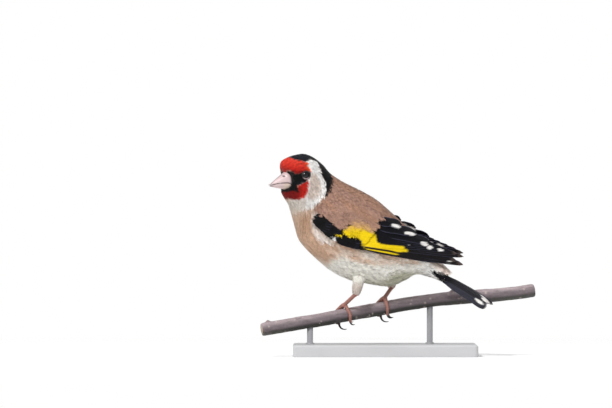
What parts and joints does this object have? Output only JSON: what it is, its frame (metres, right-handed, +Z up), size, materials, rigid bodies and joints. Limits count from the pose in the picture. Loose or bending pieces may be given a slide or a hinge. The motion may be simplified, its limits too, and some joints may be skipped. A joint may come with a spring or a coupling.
{
  "type": "european goldfinch",
  "caption": "Still, life-size european goldfinch gripping a short cut branch, held by two rods on a flat base",
  "frame": {"origin": "centre of the underside of the stand's base", "axes": "+Z up, -X the way the bird faces, -Y the bird's left side, which the picture shows"},
  "size_m": [0.1381, 0.06, 0.1013],
  "materials": {
    "plumage_head": "red face, black crown and white cheek in small soft feathers",
    "plumage_buff": "buff and white breast feathers, matte and soft",
    "plumage_back": "warm brown back and off-white belly feathers, matte and soft",
    "plumage_pale": "off-white rump, undertail and thigh feathers, matte and soft",
    "flight_feathers": "black vanes with a yellow bar and white tips, faint blue-grey sheen",
    "bill": "smooth ivory-pink horn, grey along the ridge and tip",
    "eye": "wet, very dark brown",
    "leg_skin": "scaled, brownish pink",
    "claw": "dark smooth horn",
    "bark": "smooth grey-mauve bark with fine lenticels and cut ends",
    "stand": "plain pale satin",
    "stand_rod": "plain satin rod"
  },
  "bodies": {
    "root": {"bill_lower": "bill", "bill_upper": "bill", "claw_left_hind": "claw", "claw_left_inner": "claw", "claw_left_middle": "claw", "claw_left_outer": "claw", "claw_right_hind": "claw", "claw_right_inner": "claw", "claw_right_middle": "claw", "claw_right_outer": "claw", "eye_left": "eye", "eye_right": "eye", "foot_left": "leg_skin", "foot_right": "leg_skin", "head": "plumage_head", "neck": "plumage_buff", "perch": "bark", "rump": "plumage_pale", "shank_left": "leg_skin", "shank_right": "leg_skin", "stand_base": "stand", "stand_rod_front": "stand_rod", "stand_rod_rear": "stand_rod", "tail": "flight_feathers", "thigh_left": "plumage_pale", "thigh_right": "plumage_pale", "torso": "plumage_back", "wing_left": "flight_feathers", "wing_right": "flight_feathers"}
  },
  "joints": []
}
